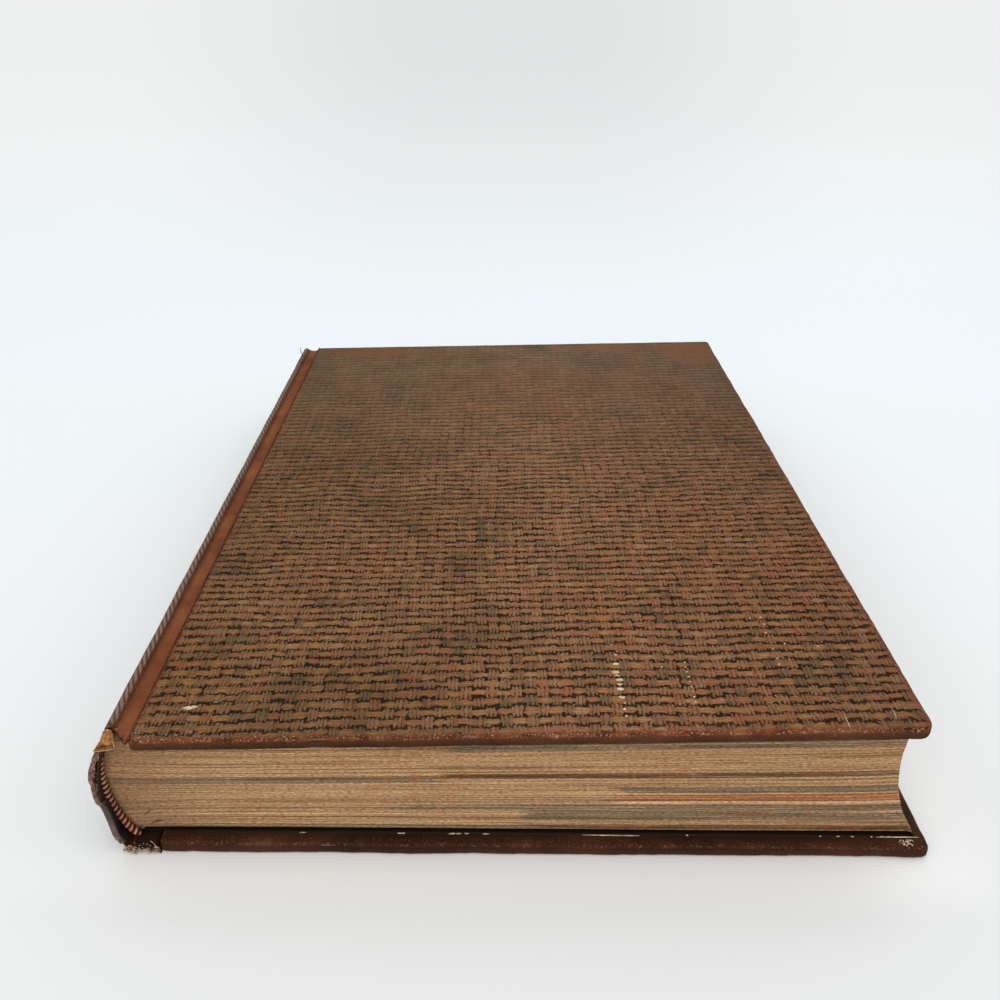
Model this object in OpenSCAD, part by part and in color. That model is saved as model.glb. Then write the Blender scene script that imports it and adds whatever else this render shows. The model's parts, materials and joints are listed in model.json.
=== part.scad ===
// Old hardback book, lying shut on its back cover with its tail edge towards -Y.
// The leaves are one rounded block, swollen at the fore-edge and leaning from years on a shelf.
// Each cover is a board wrapped in cloth, with a paper lining inside and a groove beside the spine.
// +X runs from the spine to the fore-edge, +Y from the tail to the head, +Z up.

/* [Leaves] */
// Width of a leaf, from the back of the block to its fore-edge
page_w = 182; // [150:1:220]
// Height of a leaf, from the tail to the head
page_h = 250; // [200:1:300]
// Thickness of the block at the spine
spine_t = 27; // [20:0.5:40]
// Extra thickness of the block at the fore-edge, where the leaves have swollen
swell = 5.5; // [0:0.5:8]
// How far the rounded back of the block bulges out
back_bulge = 2.9; // [2:0.1:6]
// How far the fore-edge curves in
fore_hollow = 3.5; // [1:0.1:6]
// How far the top of the back leans to the left of its bottom
back_lean = 0; // [0:0.5:4]
// How far the top of the fore-edge leans to the left of its bottom
fore_lean = 7; // [0:0.2:8]

/* [Covers] */
// Thickness of a cover with its cloth and paper
cover_t = 3.3; // [2.6:0.1:4]
// Thickness of the cover cloth
cloth_t = 0.4; // [0.3:0.05:0.6]
// Thickness of the endpapers
paper_t = 0.15; // [0.1:0.05:0.3]
// How far the covers stand past the leaves at head and tail
end_square = 4; // [2.5:0.5:6]
// How far the front cover stands past the top of the fore-edge
fore_square = 3.1; // [1:0.1:6]
// How far the back cover has slid towards the fore-edge
cover_shift = 6.6; // [0:0.1:8]
// Width of the cloth folded in over the inside edges of a board
turn_in = 15; // [10:1:25]
// Bare cloth left around the endpaper inside a cover
paper_margin = 3.5; // [2:0.5:8]
// Radius of the wrapped edges of a cover
edge_r = 0.8; // [0.5:0.1:1]
// Radius of a cover's worn corners
corner_r = 1.6; // [1:0.1:4]
// Radius of the front cover's blunted corner, at the tail and fore-edge
blunt_r = 3.4; // [2:0.2:8]

/* [Weave] */
// Distance between the rows of the front cover's coarse weave
row_pitch = 3.2; // [2:0.1:5]
// Height of a woven row above the dips between the rows
row_height = 0.15; // [0.05:0.05:0.25]

/* [Joints] */
// Width of the joint, from the hinge line to the front board's edge
joint_w = 5.4; // [5:0.1:10]
// Radius of the ridge that the cloth makes along the hinge line
ridge_r = 1.4; // [0.9:0.05:1.45]
// Depth of the groove between the ridge and the board
groove_depth = 1.5; // [1:0.05:1.6]
// Gap around a ridge, so that the covers turn freely
hinge_gap = 0.35; // [0.3:0.05:0.5]
// Room between a shut cover and the leaves
shut_gap = 0.05; // [0.02:0.01:0.2]

/* [Spine] */
// Thickness of the gauze and paper glued to the back of the block
lining_t = 0.3; // [0.3:0.1:0.8]
// Air gap of the hollow back
hollow_gap = 0.3; // [0.3:0.1:0.8]
// Thickness of the stiff strip inside the spine cloth
inlay_t = 0.5; // [0.4:0.1:1]
// How far the stiff strip stops short of the cloth at head and tail
inlay_setback = 1; // [0.5:0.1:2]
// How far up the back the cloth is torn away at the tail, from the torn step to the front ridge
tear_step_z = 15; // [8:0.2:18]
// Depth of the tear down the back
tear_depth = 2.2; // [1:0.1:6]
// Depth of the tear at the front ridge
tear_ridge_depth = 7.5; // [3:0.5:15]

/* [Bands] */
// Radius of the woven bead at head and tail
band_r = 0.9; // [0.6:0.1:1.2]
// Length of the tape that holds a band to the back of the block
band_tape = 12; // [8:1:20]
// Thickness of that tape
band_tape_t = 0.2; // [0.15:0.05:0.25]

/* [Hidden] */
$fn = 96;
seat_gap = 0.05;
band_lift = 0.2;
corner_steps = 4;
groove_steps = 8;
row_steps = 4;

// Heights of the block, and the slope of its top
block_z = cover_t + shut_gap + paper_t;
slope = swell / page_w;
tilt = atan(slope);
block_top = block_z + spine_t + slope * back_lean / 2;
function top_at(x) = block_top + x * slope;

// An arc over a chord: its radius, and its centre on the side that the normal points to
function arc_radius(chord, rise) = chord * chord / (8 * rise) + rise / 2;
function arc_centre(low, high, rise) =
    let (chord = norm(high - low), along = (high - low) / chord)
    (low + high) / 2 + [along[1], -along[0]] * (arc_radius(chord, rise) - rise);

// The rounded back
back_low = [back_lean / 2, block_z];
back_high = [-back_lean / 2, block_z + spine_t];
back_r = arc_radius(norm(back_high - back_low), back_bulge);
back_c = arc_centre(back_low, back_high, back_bulge);
back_low_angle = 360 + atan2(back_low[1] - back_c[1], back_low[0] - back_c[0]);
back_high_angle = atan2(back_high[1] - back_c[1], back_high[0] - back_c[0]);

// The hollow fore-edge
fore_low = [page_w + fore_lean / 2, block_z];
fore_high = [page_w - fore_lean / 2, top_at(page_w - fore_lean / 2)];
fore_r = arc_radius(norm(fore_high - fore_low), fore_hollow);
fore_c = arc_centre(fore_low, fore_high, fore_hollow);

// Layers around the back, from the block outwards
inlay_r = back_r + lining_t + hollow_gap;
cloth_r = inlay_r + inlay_t;
case_r = cloth_r + cloth_t;

// Hinge lines, half-way through each cover's thickness and in the middle of the spine's case
hinge_r = (inlay_r + case_r) / 2;
front_rise = (top_at(back_c[0]) - back_c[1]) * cos(tilt) + paper_t + shut_gap + cover_t / 2;
front_run = sqrt(hinge_r * hinge_r - front_rise * front_rise);
front_axis = back_c + [-front_run * cos(tilt) - front_rise * sin(tilt),
    -front_run * sin(tilt) + front_rise * cos(tilt)];
back_rise = back_c[1] - cover_t / 2;
back_axis = [back_c[0] - sqrt(hinge_r * hinge_r - back_rise * back_rise), cover_t / 2];

// Boards: both have the same width, and the back one has slid towards the fore-edge
board_w = fore_high[0] + fore_square - front_axis[0] - joint_w;
board_h = page_h + 2 * end_square;
back_joint_w = front_axis[0] + joint_w + cover_shift - back_axis[0];
board_t = cover_t - 2 * cloth_t - paper_t;
inner_w = -cover_t / 2 + paper_t;
groove_w = cover_t / 2 - groove_depth;
groove_rise = 0.2;
strip_t = cloth_t + paper_t;

// The book's box is centred on the origin
left_x = back_c[0] - case_r;
right_x = back_axis[0] + back_joint_w + board_w;
reach = page_w + 4 * case_r;

// Points of a rounded rectangle from [0, 0], with one radius for each corner in turn:
// low left, low right, high right, high left
function corner_arc(centre, r, from) =
    [for (i = [0 : corner_steps]) centre + r * [cos(from + 90 * i / corner_steps),
        sin(from + 90 * i / corner_steps)]];
function rounded_outline(w, h, r) = concat(
    corner_arc([r[0], r[0]], r[0], 180),
    corner_arc([w - r[1], r[1]], r[1], 270),
    corner_arc([w - r[2], h - r[2]], r[2], 0),
    corner_arc([r[3], h - r[3]], r[3], 90));

// The same rectangle with one radius and a row of shallow scallops along its high side
function woven_outline(w, h, r) =
    let (rows = max(1, round((w - 2 * r) / row_pitch)), steps = rows * row_steps)
    concat(
        corner_arc([r, r], r, 180),
        corner_arc([w - r, r], r, 270),
        corner_arc([w - r, h - r], r, 0),
        [for (i = [steps - 1 : -1 : 1]) [r + (w - 2 * r) * i / steps,
            h - row_height * pow(2 * (i % row_steps) / row_steps - 1, 2)]],
        corner_arc([r, h - r], r, 90));

// Moves the book's section to its place
module in_place() {
    translate([-(left_x + right_x) / 2, -board_h / 2, 0]) children();
}

// Pushes a section drawn in X and Z along Y
module along_y(from, to) {
    translate([0, to, 0]) rotate([90, 0, 0]) linear_extrude(height = to - from) children();
}

// Pushes an outline drawn in Y and Z along X
module along_x(from, to) {
    translate([from, 0, 0]) rotate([90, 0, 90]) linear_extrude(height = to - from) children();
}

// Section of the block between two levels above its bottom, with its round back and hollow fore-edge
module block_section(low_z, high_z, setback) {
    difference() {
        polygon([[-back_r, low_z], [page_w + fore_lean, low_z],
            [page_w + fore_lean, high_z + (page_w + fore_lean) * slope],
            [-back_r, high_z - back_r * slope]]);
        translate(fore_c) circle(r = fore_r);
        difference() {
            translate([back_c[0] - reach, back_c[1] - reach]) square([reach, 2 * reach]);
            translate(back_c) circle(r = back_r - setback);
        }
    }
}

// Everything within the angle that the spine's case spans, from ridge to ridge
module spine_wedge() {
    front_dir = (front_axis - back_c) / hinge_r;
    back_dir = (back_axis - back_c) / hinge_r;
    polygon([back_c, back_c + front_dir * 2 * hinge_r, back_c + [-3 * hinge_r, 0],
        back_c + back_dir * 2 * hinge_r]);
}

// Section of one layer around the back, cut clear of both ridges
module spine_layer(inner, outer) {
    difference() {
        intersection() {
            difference() {
                translate(back_c) circle(r = outer);
                translate(back_c) circle(r = inner);
            }
            spine_wedge();
        }
        translate(front_axis) circle(r = ridge_r + hinge_gap);
        translate(back_axis) circle(r = ridge_r + hinge_gap);
    }
}

module text_block() {
    color("burlywood") in_place() {
        along_y(end_square, end_square + page_h)
            block_section(block_z, block_top, 0);
    }
}

// Free endpapers: the block's own outline, a paper's thickness deep, starting just past the ridges
module front_flyleaf() {
    color("tan") in_place() difference() {
        along_y(end_square, end_square + page_h)
            block_section(block_z, block_top + paper_t / cos(tilt), 2 * ridge_r);
        along_y(0, board_h) polygon([[-reach, -reach], [reach, -reach],
            [reach, top_at(reach)], [-reach, top_at(-reach)]]);
    }
}

module back_flyleaf() {
    color("tan") in_place() difference() {
        along_y(end_square, end_square + page_h)
            block_section(block_z - paper_t, block_top, 2 * ridge_r);
        translate([-reach, 0, block_z]) cube([2 * reach, board_h, reach]);
    }
}

// Woven band: a round bead on the end of the block, with a tape down its back
module end_band() {
    bead_y = end_square - band_r - seat_gap;
    bead_at = back_r + lining_t - band_r - seat_gap;
    setback = (band_r + band_lift) / back_r * 180 / PI;
    from = back_high_angle + setback;
    to = back_low_angle - setback;
    translate([back_c[0], 0, back_c[1]]) rotate([90, 0, 0]) {
        translate([0, 0, -bead_y]) rotate([0, 0, from])
            rotate_extrude(angle = to - from) translate([bead_at, 0]) circle(r = band_r, $fn = 24);
        translate([0, 0, -end_square - band_tape]) rotate([0, 0, from])
            rotate_extrude(angle = to - from) translate([back_r, 0])
                square([band_tape_t, band_tape + end_square - bead_y]);
    }
}

module tail_band() {
    color("sienna") in_place() end_band();
}

module head_band() {
    color("sienna") in_place() translate([0, board_h, 0]) mirror([0, 1, 0]) end_band();
}

// Gauze and paper glued to the back of the block, between the two band tapes
module spine_lining() {
    start = end_square + band_tape + seat_gap;
    color("wheat") in_place() along_y(start, board_h - start) difference() {
        spine_layer(back_r, back_r + lining_t);
        polygon([[-reach, top_at(-reach)], [reach, top_at(reach)], [reach, reach], [-reach, reach]]);
        translate([-reach, block_z - reach]) square([2 * reach, reach]);
    }
}

// Outline in Y and Z of what is torn off the tail end of a spine layer.
// The torn edge starts at the step and runs up the back, then cuts in deeper at the front ridge.
module torn_away(depth, ridge_depth) {
    top_z = front_axis[1];
    rise = top_z - tear_step_z;
    polygon([[-depth, tear_step_z], [depth * 0.6, tear_step_z - rise * 0.02],
        [depth * 0.45, tear_step_z + rise * 0.16], [depth * 0.8, tear_step_z + rise * 0.33],
        [depth * 0.6, tear_step_z + rise * 0.5], [depth, tear_step_z + rise * 0.68],
        [depth * 0.85, tear_step_z + rise * 0.8], [ridge_depth * 0.6, tear_step_z + rise * 0.9],
        [ridge_depth, tear_step_z + rise * 0.97], [ridge_depth * 0.8, top_z + ridge_r],
        [ridge_depth * 0.9, top_z + 2 * ridge_r + cover_t], [-depth, top_z + 2 * ridge_r + cover_t]]);
}

// Stiff strip inside the spine cloth, with its own shallower tear at the tail
module spine_inlay() {
    color("peru") in_place() difference() {
        along_y(inlay_setback, board_h - inlay_setback) spine_layer(inlay_r, cloth_r);
        along_x(left_x - case_r, back_c[0])
            torn_away(inlay_setback + tear_depth * 0.3, inlay_setback + tear_depth * 0.2);
    }
}

// Spine cloth, folded over the stiff strip at head and tail and torn away at the tail
module spine_cloth() {
    color([0.23, 0.15, 0.15]) in_place() difference() {
        union() {
            along_y(0, board_h) spine_layer(cloth_r, case_r);
            along_y(0, inlay_setback - seat_gap) spine_layer(inlay_r, case_r);
            along_y(board_h - inlay_setback + seat_gap, board_h) spine_layer(inlay_r, case_r);
        }
        along_x(left_x - case_r, back_c[0]) torn_away(tear_depth, tear_ridge_depth);
    }
}

// The parts of a cover are drawn flat, from the hinge line at [0, 0], with the outside face up.
// start is where the board begins, and blunt is the radius of its tail corner at the fore-edge.

// Greyboard, a cloth's thickness inside the wrapped edges
module cover_board(start, blunt) {
    translate([start + cloth_t, cloth_t, inner_w + cloth_t]) linear_extrude(height = board_t)
        polygon(rounded_outline(board_w - 2 * cloth_t, board_h - 2 * cloth_t,
            [corner_r, blunt, corner_r, corner_r] - cloth_t * [1, 1, 1, 1]));
}

// Window that the turned-in cloth leaves on the inside of the board
module turn_in_window(start, play) {
    translate([start + turn_in + play, turn_in + play, -cover_t])
        cube([board_w - 2 * (turn_in + play), board_h - 2 * (turn_in + play),
            cover_t + inner_w + cloth_t - play]);
}

// Cloth between the ridge and the board, sunk into a shallow groove
module groove_strip(start) {
    function groove_top(i) = groove_w + groove_rise * pow(2 * i / groove_steps - 1, 2);
    tops = [for (i = [0 : groove_steps]) [start * i / groove_steps, groove_top(i)]];
    unders = [for (i = [groove_steps : -1 : 0]) [start * i / groove_steps, groove_top(i) - strip_t]];
    lip = [start + cloth_t / 2, groove_w + groove_rise];
    along_y(0, board_h) polygon(concat(tops, [lip, lip - [0, strip_t]], unders));
}

// Cover cloth: wrapped over the board and its edges, folded in, and carried to the ridge.
// Its outer face is flat, or has the rows of the weave raised along X.
module cover_cloth(start, blunt, woven) {
    wrapped_t = cover_t - paper_t;
    edges = edge_r * [1, 1, 1, 1];
    along_board = woven ? woven_outline(board_h, wrapped_t, edge_r)
        : rounded_outline(board_h, wrapped_t, edges);
    difference() {
        union() {
            translate([start, 0, inner_w]) intersection() {
                linear_extrude(height = wrapped_t)
                    polygon(rounded_outline(board_w, board_h, [corner_r, blunt, corner_r, corner_r]));
                along_y(0, board_h) polygon(rounded_outline(board_w, wrapped_t, edges));
                along_x(0, board_w) polygon(along_board);
            }
            groove_strip(start);
            along_y(0, board_h) circle(r = ridge_r, $fn = 32);
        }
        cover_board(start, blunt);
        turn_in_window(start, 0);
    }
}

// Endpaper glued inside the cover, with the infill that levels it with the turned-in cloth
module cover_paper(start) {
    translate([start + paper_margin, paper_margin, -cover_t / 2])
        cube([board_w - 2 * paper_margin, board_h - 2 * paper_margin, paper_t]);
    intersection() {
        turn_in_window(start, seat_gap);
        translate([start, 0, -cover_t / 2]) cube([board_w, board_h, cover_t]);
    }
}

module front_cover_place() {
    in_place() translate([front_axis[0], 0, front_axis[1]]) rotate([0, -tilt, 0]) children();
}

module back_cover_place() {
    in_place() translate([back_axis[0], 0, back_axis[1]]) mirror([0, 0, 1]) children();
}

module front_board() {
    color("gray") front_cover_place() cover_board(joint_w, blunt_r);
}

module front_cover_cloth() {
    color([0.42, 0.24, 0.14]) front_cover_place() cover_cloth(joint_w, blunt_r, true);
}

module front_pastedown() {
    color("tan") front_cover_place() cover_paper(joint_w);
}

module back_board() {
    color("gray") back_cover_place() cover_board(back_joint_w, corner_r);
}

module back_cover_cloth() {
    color([0.42, 0.24, 0.14]) back_cover_place() cover_cloth(back_joint_w, corner_r, false);
}

module back_pastedown() {
    color("tan") back_cover_place() cover_paper(back_joint_w);
}

text_block();
front_flyleaf();
back_flyleaf();
tail_band();
head_band();
spine_lining();
spine_inlay();
spine_cloth();
front_board();
front_cover_cloth();
front_pastedown();
back_board();
back_cover_cloth();
back_pastedown();
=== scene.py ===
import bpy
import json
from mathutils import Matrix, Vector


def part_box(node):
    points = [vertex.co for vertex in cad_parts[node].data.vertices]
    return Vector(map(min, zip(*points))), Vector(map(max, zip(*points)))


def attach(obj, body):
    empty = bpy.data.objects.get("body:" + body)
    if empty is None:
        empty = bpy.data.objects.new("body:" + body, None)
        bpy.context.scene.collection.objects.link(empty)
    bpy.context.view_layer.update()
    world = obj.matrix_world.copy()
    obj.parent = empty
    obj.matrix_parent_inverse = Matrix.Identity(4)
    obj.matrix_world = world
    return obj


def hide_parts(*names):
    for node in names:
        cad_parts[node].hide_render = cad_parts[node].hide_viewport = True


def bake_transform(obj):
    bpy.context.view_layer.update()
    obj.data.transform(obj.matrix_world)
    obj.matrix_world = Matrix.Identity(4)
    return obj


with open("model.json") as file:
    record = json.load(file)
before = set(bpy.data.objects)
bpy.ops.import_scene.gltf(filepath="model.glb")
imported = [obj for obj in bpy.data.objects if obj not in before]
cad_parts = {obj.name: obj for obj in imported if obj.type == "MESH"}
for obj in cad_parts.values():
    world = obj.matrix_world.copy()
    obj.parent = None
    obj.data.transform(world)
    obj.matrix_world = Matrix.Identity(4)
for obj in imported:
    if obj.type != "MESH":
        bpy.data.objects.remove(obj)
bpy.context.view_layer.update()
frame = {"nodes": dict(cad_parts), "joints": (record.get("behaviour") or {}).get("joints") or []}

# An old hardback book, shut, seen from its tail edge. Lengths below are in millimetres in the
# frame of the CAD part; piece() turns them into metres.
import functools
import json
import math

import bmesh
import bpy
import numpy as np
from mathutils import Matrix, Vector

scene = bpy.context.scene
rng = np.random.default_rng(7)

# ---------------------------------------------------------------- sizes
joints = {j["name"]: np.array(j["pos_m"]) * 1000 for j in frame["joints"]}


def box(node):
    """Lowest and highest corner of a CAD node, in mm."""
    return [np.array(c) * 1000 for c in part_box(node)]


FRONT_X, _, FRONT_Z = joints["front_cover_hinge"]
BACK_X, _, BACK_Z = joints["back_cover_hinge"]
BLOCK_LOW = box("text_block")[0]
COVER_LOW, COVER_HIGH = box("back_cover_cloth")
SLOPE = 5.5 / 182
TILT = math.atan(SLOPE)
COVER_T = 3.3
PAPER_T = 0.15
EDGE_R = 0.8
# corners of the covers, and the blunted one of the front cover
CORNER_R, BLUNT_R = 1.6, 3.4
RIDGE_R = 1.4
JOINT_W = 5.4
BOARD_H = COVER_HIGH[1] - COVER_LOW[1]
HALF_H = BOARD_H / 2
BOARD_W = 176.48
BACK_JOINT_W = COVER_HIGH[0] - BACK_X - BOARD_W
BACK_BULGE, FORE_HOLLOW = 2.9, 3.5
SQUARE = BLOCK_LOW[1] - COVER_LOW[1]
BLOCK_Z, BACK_TOP_Z = BLOCK_LOW[2], 30.5
BLOCK_X = -91.9
# one cell of the weave, along the row and from row to row
PITCH_U, PITCH_V = 2.88, 3.23


# ---------------------------------------------------------------- small helpers
def linear(code):
    """A colour written as an sRGB hex code, turned linear."""
    parts = [int(code[i:i + 2], 16) / 255 for i in (0, 2, 4)]
    return tuple(c / 12.92 if c <= 0.04045 else ((c + 0.055) / 1.055) ** 2.4 for c in parts) + (1,)


def mix(a, b, t):
    """From a at t 0 to b at t 1."""
    return a + (b - a) * t


def ease(t):
    """A smooth step from 0 at t 0 to 1 at t 1."""
    t = np.clip(t, 0, 1)
    return t * t * (3 - 2 * t)


def soft_noise(a, b, size, seed):
    """Soft bumps between -1 and 1: random values on a square net of that size, eased between."""
    net = np.random.default_rng(seed).uniform(-1, 1, (64, 64))
    a, b = np.broadcast_arrays(np.asarray(a, float) / size, np.asarray(b, float) / size)
    i, j = np.floor(a).astype(int), np.floor(b).astype(int)
    s, t = ease(a - i), ease(b - j)
    at = lambda p, q: net[p % 64, q % 64]
    return mix(mix(at(i, j), at(i + 1, j), s), mix(at(i, j + 1), at(i + 1, j + 1), s), t)


def piece(name, points, faces, material, uv=None, values=None, smooth=50, closed=True):
    """A mesh from points in mm, with a UV per point, float attributes, and edges past smooth degrees sharp."""
    points = np.asarray(points, float).reshape(-1, 3) / 1000
    mesh = bpy.data.meshes.new(name)
    mesh.from_pydata(points, [], [list(map(int, f)) for f in faces])
    if closed:
        net = bmesh.new()
        net.from_mesh(mesh)
        bmesh.ops.recalc_face_normals(net, faces=net.faces)
        net.to_mesh(mesh)
        net.free()
    mesh.update()
    if uv is not None:
        loops = np.empty(len(mesh.loops), int)
        mesh.loops.foreach_get("vertex_index", loops)
        layer = mesh.uv_layers.new(name="UVMap")
        layer.data.foreach_set("uv", np.asarray(uv, np.float32).reshape(-1, 2)[loops].ravel())
    for key, value in (values or {}).items():
        attribute = mesh.attributes.new(key, "FLOAT", "POINT")
        attribute.data.foreach_set("value", np.asarray(value, np.float32).ravel())
    mesh.materials.append(material)
    if smooth:
        mesh.shade_smooth()
        mesh.set_sharp_from_angle(angle=math.radians(smooth))
    obj = bpy.data.objects.new(name, mesh)
    scene.collection.objects.link(obj)
    return obj


def grid_faces(rows, cols, first=0, close_rows=False, close_cols=False):
    """Quads of a net of rows x cols points numbered row by row from first."""
    r = np.arange(rows if close_rows else rows - 1)
    c = np.arange(cols if close_cols else cols - 1)
    r, c = np.meshgrid(r, c, indexing="ij")
    r2, c2 = (r + 1) % rows, (c + 1) % cols
    quads = np.stack([r * cols + c, r * cols + c2, r2 * cols + c2, r2 * cols + c], -1)
    return (quads + first).reshape(-1, 4)


def tube_faces(rows, cols, first=0):
    """Quads of a net closed along its columns, and one face over each end."""
    last = first + (rows - 1) * cols
    ends = [list(range(first, first + cols)), list(range(last, last + cols))]
    return grid_faces(rows, cols, first, close_cols=True).tolist() + ends


def slab(net, thickness):
    """Points and faces of a thin sheet: a net of points moved half its thickness out and in along
    its normal, and closed round its rim."""
    net = np.asarray(net, float)
    rows, cols = net.shape[:2]
    normal = np.cross(np.gradient(net, axis=1), np.gradient(net, axis=0))
    normal /= np.linalg.norm(normal, axis=-1, keepdims=True) + 1e-12
    shift = normal * np.broadcast_to(np.asarray(thickness, float), (rows, cols))[..., None] / 2
    rim = np.concatenate([np.arange(cols), np.arange(1, rows) * cols + cols - 1,
                          (rows - 1) * cols + np.arange(cols - 2, -1, -1), np.arange(rows - 2, 0, -1) * cols])
    n, after = rows * cols, np.roll(rim, -1)
    top = grid_faces(rows, cols)
    faces = np.concatenate([top, top[:, ::-1] + n, np.stack([rim, rim + n, after + n, after], -1)])
    return np.concatenate([(net + shift).reshape(-1, 3), (net - shift).reshape(-1, 3)]), faces.tolist()


def bend(a, b, c, count):
    """Points on the curves from a to c that lean towards b: (1-t)^2 a + 2t(1-t) b + t^2 c."""
    t = np.linspace(0, 1, count)[None, :, None]
    a, b, c = (np.atleast_2d(np.asarray(q, float))[:, None] for q in (a, b, c))
    return (1 - t) ** 2 * a + 2 * t * (1 - t) * b + t * t * c


def crumbs(name, places, sizes, material, body):
    """Small lumps: four rings of eight points on a ball, stretched to its sizes, roughened at random."""
    places, sizes = np.asarray(places, float), np.asarray(sizes, float)
    n = len(places)
    lat, lon = np.radians([-62, -22, 22, 62])[None, :, None], np.radians(np.arange(0, 360, 45))[None, None, :]
    rough = 1 + rng.uniform(-0.35, 0.35, (n, 4, 8))
    ball = np.stack([np.cos(lat) * np.cos(lon) + 0 * rough, np.cos(lat) * np.sin(lon) + 0 * rough,
                     np.sin(lat) + 0 * rough], -1) * rough[..., None]
    points = places[:, None, None] + ball * np.broadcast_to(sizes, (n, 3))[:, None, None]
    one = tube_faces(4, 8)
    faces = [[k * 32 + q for q in face] for k in range(n) for face in one]
    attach(piece(name, points, faces, material), body)


def strands(name, paths, radius, material, body):
    """Threads: a ring of six points round each point of every path, thinner towards both ends."""
    n, m = paths.shape[:2]
    ahead = np.gradient(paths, axis=1)
    ahead /= np.linalg.norm(ahead, axis=-1, keepdims=True) + 1e-9
    aside = np.cross(ahead, np.array([0.31, 0.17, 0.94]))
    aside /= np.linalg.norm(aside, axis=-1, keepdims=True) + 1e-9
    above = np.cross(aside, ahead)
    turn = np.arange(6) * math.pi / 3
    thick = radius * np.sqrt(np.clip(1.02 - np.linspace(-1, 1, m) ** 2, 0.05, 1))[None, :, None, None]
    ring = np.cos(turn)[:, None] * aside[:, :, None] + np.sin(turn)[:, None] * above[:, :, None]
    points = paths[:, :, None] + thick * ring
    one = tube_faces(m, 6)
    faces = [[k * m * 6 + q for q in face] for k in range(n) for face in one]
    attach(piece(name, points, faces, material), body)


def on_front(u, v, w):
    """A point of the front cover: u along it from the hinge line, v up from the tail, w out of its face."""
    u, v, w = np.broadcast_arrays(*map(lambda q: np.asarray(q, float), (u, v, w)))
    return np.stack([FRONT_X + u * math.cos(TILT) - w * math.sin(TILT), v - HALF_H,
                     FRONT_Z + u * math.sin(TILT) + w * math.cos(TILT)], -1)


def on_back(u, v, w):
    """The same for the back cover, which lies face down."""
    u, v, w = np.broadcast_arrays(*map(lambda q: np.asarray(q, float), (u, v, w)))
    return np.stack([BACK_X + u, v - HALF_H, BACK_Z - w], -1)


# ---------------------------------------------------------------- shader helpers
# Words for the nodes used most, with the settings they come with, and the inputs that values go to in order
KINDS = {"noise": ("TexNoise", {}), "ramp": ("ValToRGB", {}), "range": ("MapRange", {}),
         "soft_range": ("MapRange", {"interpolation_type": "SMOOTHSTEP"}),
         "blend": ("MixRGB", {}), "tint": ("MixRGB", {"blend_type": "MULTIPLY"})}
PLACES = {"noise": ("Vector", "Scale", "Detail"), "Mix": (0, 2, 3)}


def add_node(material, kind, *values, inputs=None, out=0, stops=(), between="LINEAR", **settings):
    """Adds one node with its settings, and links or sets its inputs. Gives one output.
    A kind in capitals is an operation of the Math node, and a hex code is turned linear. On Object
    coordinates, which are metres, a noise of scale 500 has its bumps about 1000 / 500 = 2 mm apart."""
    tree = material.node_tree
    real_kind, own_settings = ("Math", {"operation": kind}) if kind.isupper() else KINDS.get(kind, (kind, {}))
    node = tree.nodes.new("ShaderNode" + real_kind)
    for key, value in {**own_settings, **settings}.items():
        setattr(node, key, value)
    for key, value in [*zip(PLACES.get(kind, range(9)), values), *(inputs or {}).items()]:
        if isinstance(value, bpy.types.NodeSocket):
            tree.links.new(value, node.inputs[key])
        else:
            node.inputs[key].default_value = linear(value) if isinstance(value, str) else value
    if stops:
        node.color_ramp.interpolation = between
        elements = node.color_ramp.elements
        while len(elements) < len(stops):
            elements.new(1)
        for element, (place, colour) in zip(elements, stops):
            element.position = place
            element.color = linear(colour) if isinstance(colour, str) else (colour, colour, colour, 1)
    return node.outputs[out]


def new_material(name):
    """A new material, and add_node bound to it."""
    material = bpy.data.materials.new(name)
    material.use_nodes = True
    return material, functools.partial(add_node, material)


def finish_surface(m, add, colour, roughness=0.9, height=None, distance=0.0001, specular=0.2):
    """Feeds colour, roughness and a height, whose full step is distance metres, into the surface."""
    surface = m.node_tree.nodes["Principled BSDF"]
    values = {"Base Color": colour, "Roughness": roughness, "Specular IOR Level": specular}
    if height is not None:
        values["Normal"] = add("Bump", inputs={"Height": height, "Distance": distance, "Strength": 1.0})
    for key, value in values.items():
        if isinstance(value, bpy.types.NodeSocket):
            m.node_tree.links.new(value, surface.inputs[key])
        else:
            surface.inputs[key].default_value = value
    return m


# ---------------------------------------------------------------- the weave, as a formula
def weave_numbers(col, row):
    """Relief of the basket weave, 0 in a hole to 1 on a strand.
    Cells alternate like a chequerboard: a flat spindle of thread lies along the row, and a bundle of
    three upright threads stands in each cell between."""
    i, j = np.floor(col), np.floor(row)
    parity = np.mod(i + j, 2)
    dx, dy = np.abs(col - i - 0.5), np.abs(row - j - 0.5)
    hx, vy = mix(dx, 1 - dx, parity), mix(1 - dy, dy, parity)
    flat = 1 - (hx / 0.80) ** 2.4 - (dy / 0.42) ** 2
    upright = 1 - (dx / 0.42) ** 2 - (vy / 0.60) ** 2.4
    return np.sqrt(np.clip(np.maximum(flat, upright), 0, 1))


def weave_place(u, v):
    """Column and row of the weave at a place on the cover, with the cloth's slow wander."""
    col = u / PITCH_U + 0.28 * soft_noise(u, v, 19, 11) + 0.1 * soft_noise(u, v, 5.5, 12)
    row = v / PITCH_V + 0.25 * soft_noise(u, v, 17, 13) + 0.1 * soft_noise(u, v, 5.5, 14)
    return col, row


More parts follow.
